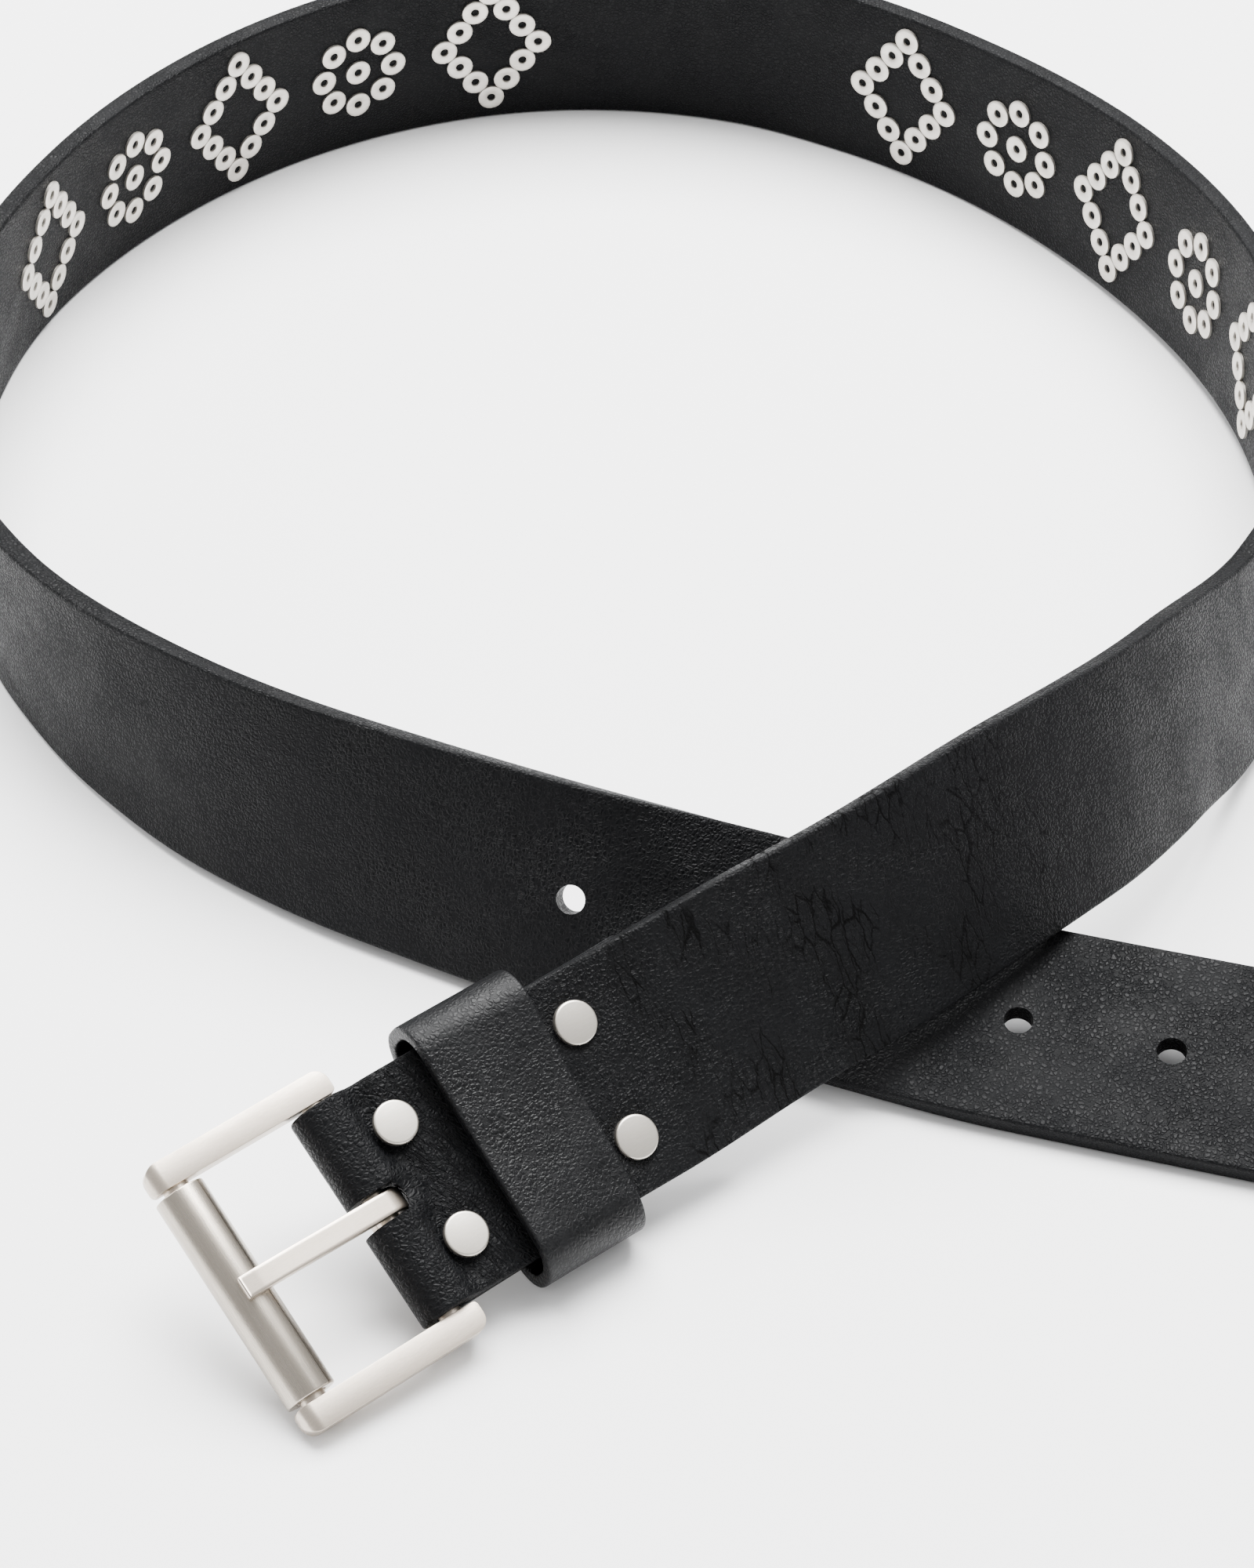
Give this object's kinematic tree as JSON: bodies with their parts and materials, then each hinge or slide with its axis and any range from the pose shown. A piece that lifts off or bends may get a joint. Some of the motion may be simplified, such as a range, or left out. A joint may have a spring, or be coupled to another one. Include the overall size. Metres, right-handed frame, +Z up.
{
  "type": "studded belt",
  "caption": "Black leather belt standing on edge in an open loop, with stud motifs, a keeper, and a roller buckle with a prong.",
  "frame": {"origin": "middle of the foot of the belt's box, on the floor it stands on", "axes": "+Z up, +Y from the crossed ends in front to the closed back of the loop, +X towards the tail's tip"},
  "size_m": [0.3066, 0.3828, 0.0489],
  "materials": {
    "leather": "full-grain leather with a fine pebbled grain and soft creases",
    "keeper_leather": "smooth pressed leather",
    "cap_metal": "satin nickel-plated",
    "nickel": "satin antique nickel-plated"
  },
  "bodies": {
    "belt": {"strap": "leather", "keeper": "keeper_leather", "rivet_1": "cap_metal", "rivet_2": "cap_metal", "rivet_3": "cap_metal", "rivet_4": "cap_metal"},
    "frame": {"buckle_frame": "nickel"},
    "roller": {"roller": "nickel"},
    "prong": {"prong": "nickel"}
  },
  "joints": [
    {"name": "frame_pivot", "type": "hinge", "parent": "belt", "child": "frame", "pos_m": [-0.06055, -0.15649, 0.01518], "axis": [-0.5588, 0.6736, 0.4837], "range_deg": [-60, 30]},
    {"name": "prong_swing", "type": "hinge", "parent": "frame", "child": "prong", "pos_m": [-0.06055, -0.15649, 0.01518], "axis": [-0.5588, 0.6736, 0.4837], "range_deg": [0, 75]},
    {"name": "roller_spin", "type": "hinge", "parent": "frame", "child": "roller", "pos_m": [-0.08081, -0.17167, 0.01291], "axis": [-0.5588, 0.6736, 0.4837], "continuous": true}
  ]
}
